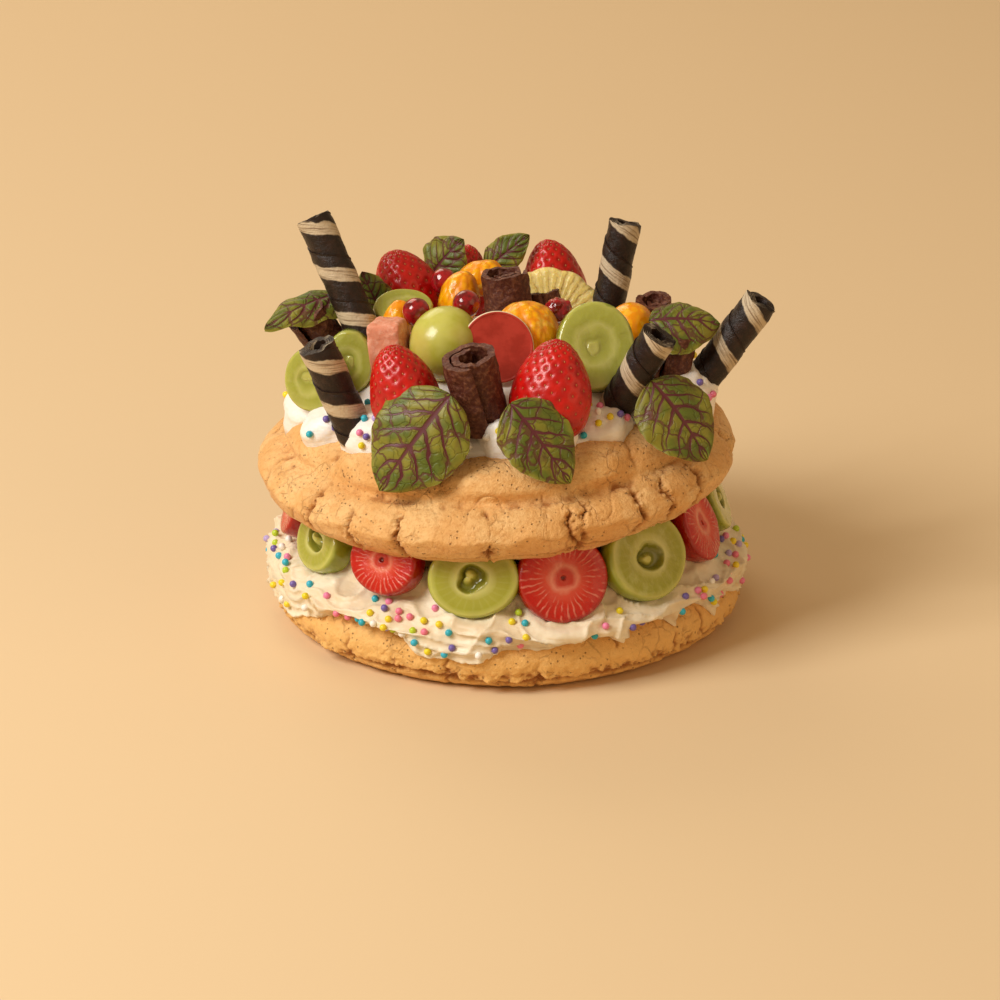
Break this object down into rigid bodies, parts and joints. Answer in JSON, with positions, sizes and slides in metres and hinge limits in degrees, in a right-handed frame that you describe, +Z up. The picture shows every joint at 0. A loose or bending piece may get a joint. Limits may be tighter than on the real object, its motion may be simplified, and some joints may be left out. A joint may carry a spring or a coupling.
{
  "type": "choux cake",
  "caption": "Round choux cake in tiers, filled and topped with cream and fresh fruit, with wafer rolls, chocolate curls and leaves standing on top.",
  "frame": {"origin": "middle of the flat face under the base tier, where the cake stands on its plate", "axes": "+Z up, -Y towards the front of the cake, +X to the right seen from the front"},
  "size_m": [0.1955, 0.1851, 0.1563],
  "materials": {
    "crust": "baked choux crust, matt",
    "filling": "buttercream, soft satin",
    "cream": "whipped cream, soft satin",
    "wafer": "dark cocoa wafer, satin",
    "chocolate": "chocolate, rough and dull",
    "strawberry": "strawberry, glossy",
    "leaf": "fresh leaf, satin",
    "grape": "green grape, wet gloss",
    "citrus": "orange fruit flesh, wet gloss",
    "berry": "small dark red fruit, gloss",
    "pink": "pink sugar block, matt",
    "plaque": "red coated chocolate disc, satin",
    "pineapple": "pineapple flesh, wet"
  },
  "bodies": {
    "root": {"base_tier": "crust", "upper_tier": "crust", "filling_cream": "filling", "top_cream": "cream", "wafer_roll_1": "wafer", "wafer_roll_2": "wafer", "wafer_roll_3": "wafer", "wafer_roll_4": "wafer", "wafer_roll_5": "wafer", "chocolate_curl_1": "chocolate", "chocolate_curl_2": "chocolate", "chocolate_curl_3": "chocolate", "chocolate_curl_4": "chocolate", "chocolate_curl_5": "chocolate", "chocolate_curl_6": "chocolate", "strawberry_1": "strawberry", "strawberry_2": "strawberry", "strawberry_3": "strawberry", "strawberry_4": "strawberry", "strawberry_5": "strawberry", "leaf_1": "leaf", "leaf_2": "leaf", "leaf_3": "leaf", "leaf_4": "leaf", "leaf_5": "leaf", "leaf_6": "leaf", "leaf_7": "leaf", "leaf_8": "leaf", "grape_whole": "grape", "grape_half_1": "grape", "grape_half_2": "grape", "grape_half_3": "grape", "grape_half_4": "grape", "mandarin_1": "citrus", "mandarin_2": "citrus", "mandarin_3": "citrus", "mandarin_4": "citrus", "apricot_ball": "citrus", "berry_1": "berry", "berry_2": "berry", "berry_3": "berry", "berry_4": "berry", "pink_block": "pink", "red_disc": "plaque", "pineapple_slice": "pineapple", "ring_strawberry_1": "strawberry", "ring_strawberry_2": "strawberry", "ring_strawberry_3": "strawberry", "ring_strawberry_4": "strawberry", "ring_strawberry_5": "strawberry", "ring_strawberry_6": "strawberry", "ring_strawberry_7": "strawberry", "ring_strawberry_8": "strawberry", "ring_grape_1": "grape", "ring_grape_2": "grape", "ring_grape_3": "grape", "ring_grape_4": "grape", "ring_grape_5": "grape", "ring_grape_6": "grape", "ring_grape_7": "grape"}
  },
  "joints": []
}
